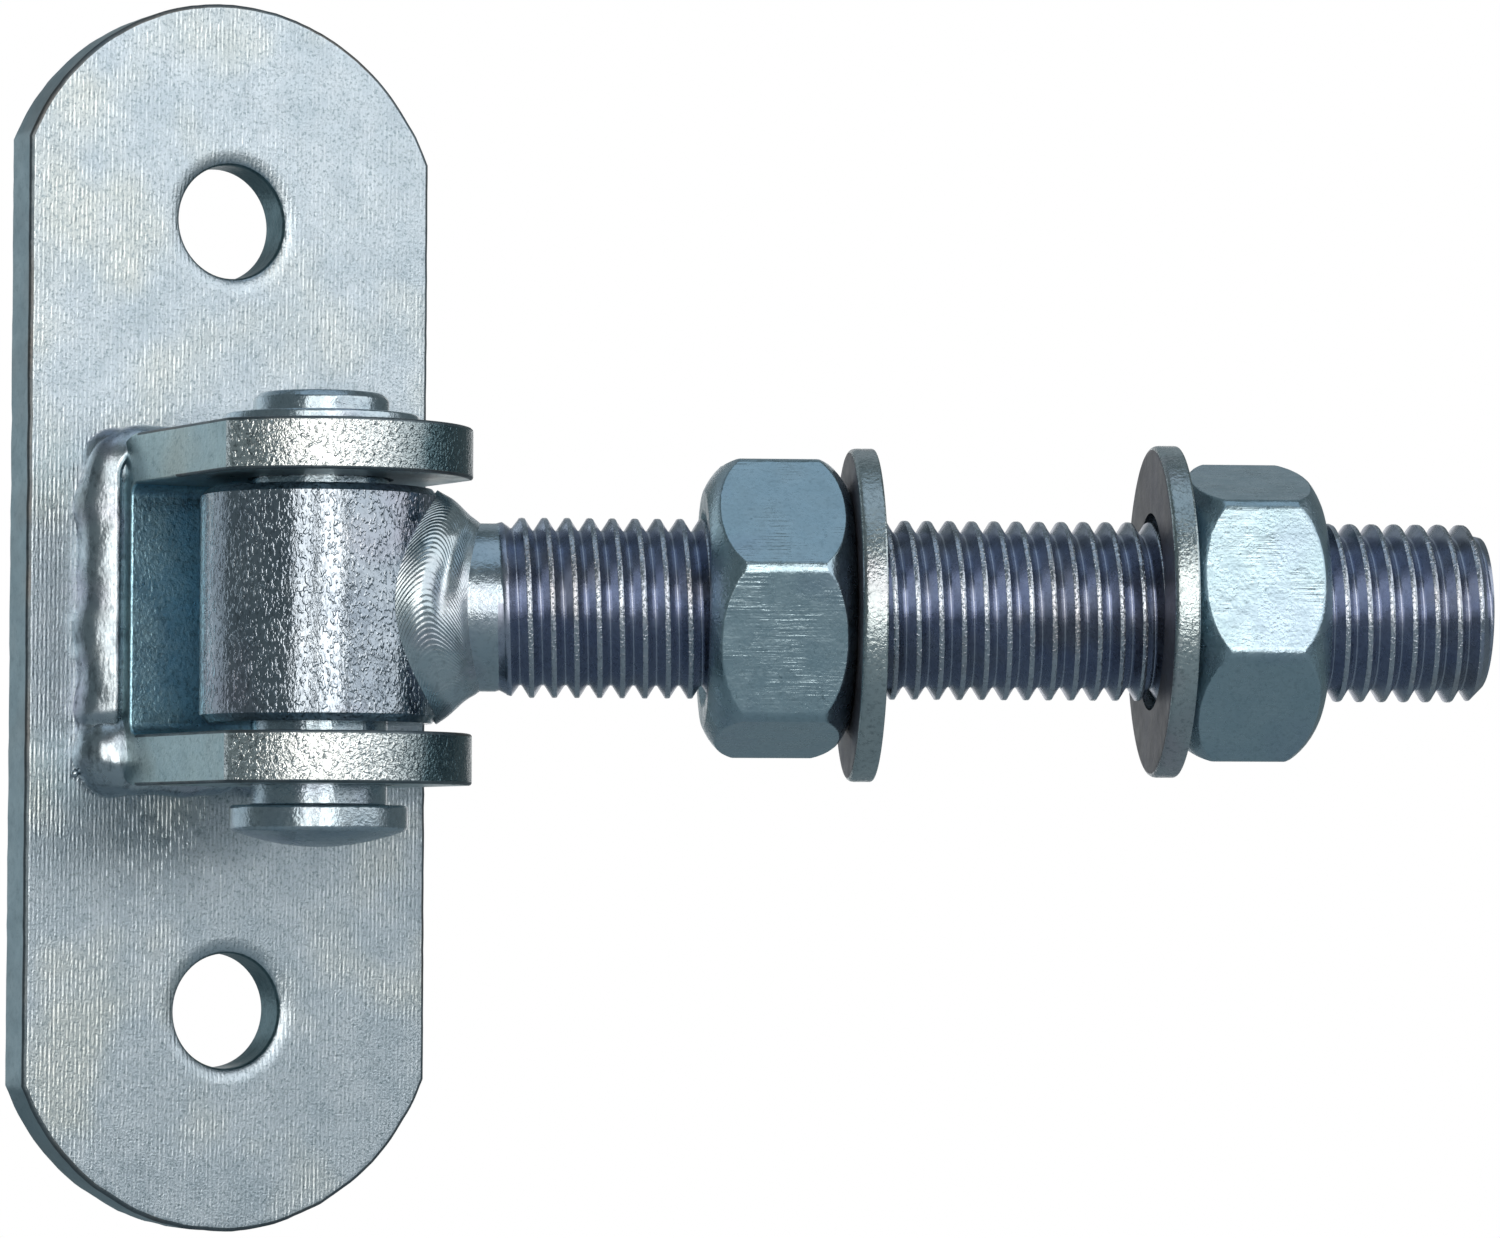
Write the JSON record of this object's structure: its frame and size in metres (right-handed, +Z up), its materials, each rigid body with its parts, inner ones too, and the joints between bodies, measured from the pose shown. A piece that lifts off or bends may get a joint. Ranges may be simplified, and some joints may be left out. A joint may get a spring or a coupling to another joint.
{
  "type": "adjustable gate hinge",
  "caption": "Plate-mounted clevis gate hinge with a welded threaded eye bolt, nuts and washers that clamp a gate stile and set its distance.",
  "frame": {"origin": "centre of the plate's back face", "axes": "+Z up along the hinge pin, +Y out of the plate's back into the post, +X to the side that the rod rests towards"},
  "size_m": [0.145, 0.0931, 0.14],
  "materials": {
    "zinc_plate": "satin",
    "zinc_rod": "satin",
    "zinc_nut": "satin",
    "zinc_weld": "satin"
  },
  "bodies": {
    "plate": {"mounting_plate": "zinc_plate", "clevis_bracket": "zinc_plate", "bracket_weld_left": "zinc_weld", "bracket_weld_right": "zinc_weld"},
    "ring": {"pin_retaining_ring": "zinc_plate"},
    "pin": {"hinge_pin": "zinc_plate"},
    "eye_bolt": {"eye_barrel": "zinc_plate", "threaded_rod": "zinc_rod", "eye_weld": "zinc_weld"},
    "inner_washer": {"inner_washer": "zinc_nut"},
    "inner_nut": {"inner_nut": "zinc_nut"},
    "outer_washer": {"outer_washer": "zinc_nut"},
    "outer_nut": {"outer_nut": "zinc_nut"}
  },
  "joints": [
    {"name": "gate_swing", "type": "hinge", "parent": "plate", "child": "eye_bolt", "pos_m": [0, -0.0281, 0], "axis": [0, 0, 1], "range_deg": [-154, 26]},
    {"name": "pin_lift", "type": "slide", "parent": "plate", "child": "ring", "axis": [0, 0, 1], "range_m": [0, 0.002]},
    {"name": "pin_turn", "type": "hinge", "parent": "ring", "child": "pin", "pos_m": [0, -0.0281, 0], "axis": [0, 0, 1], "continuous": true},
    {"name": "inner_washer_travel", "type": "slide", "parent": "eye_bolt", "child": "inner_washer", "axis": [0.8988, -0.4384, 0], "range_m": [-0.0195, 0.014]},
    {"name": "inner_nut_turn", "type": "hinge", "parent": "inner_washer", "child": "inner_nut", "pos_m": [0.04494, -0.05002, 0], "axis": [0.8988, -0.4384, 0], "range_deg": [-2808, 2016]},
    {"name": "outer_washer_travel", "type": "slide", "parent": "eye_bolt", "child": "outer_washer", "axis": [0.8988, -0.4384, 0], "range_m": [-0.014, 0.0175]},
    {"name": "outer_nut_turn", "type": "hinge", "parent": "outer_washer", "child": "outer_nut", "pos_m": [0.09258, -0.07325, 0], "axis": [0.8988, -0.4384, 0], "range_deg": [-2016, 2520]}
  ],
  "couplings": [
    {"joint": "inner_washer_travel", "follows": "inner_nut_turn", "m_per_rad": 0.00039789},
    {"joint": "outer_washer_travel", "follows": "outer_nut_turn", "m_per_rad": 0.00039789}
  ]
}
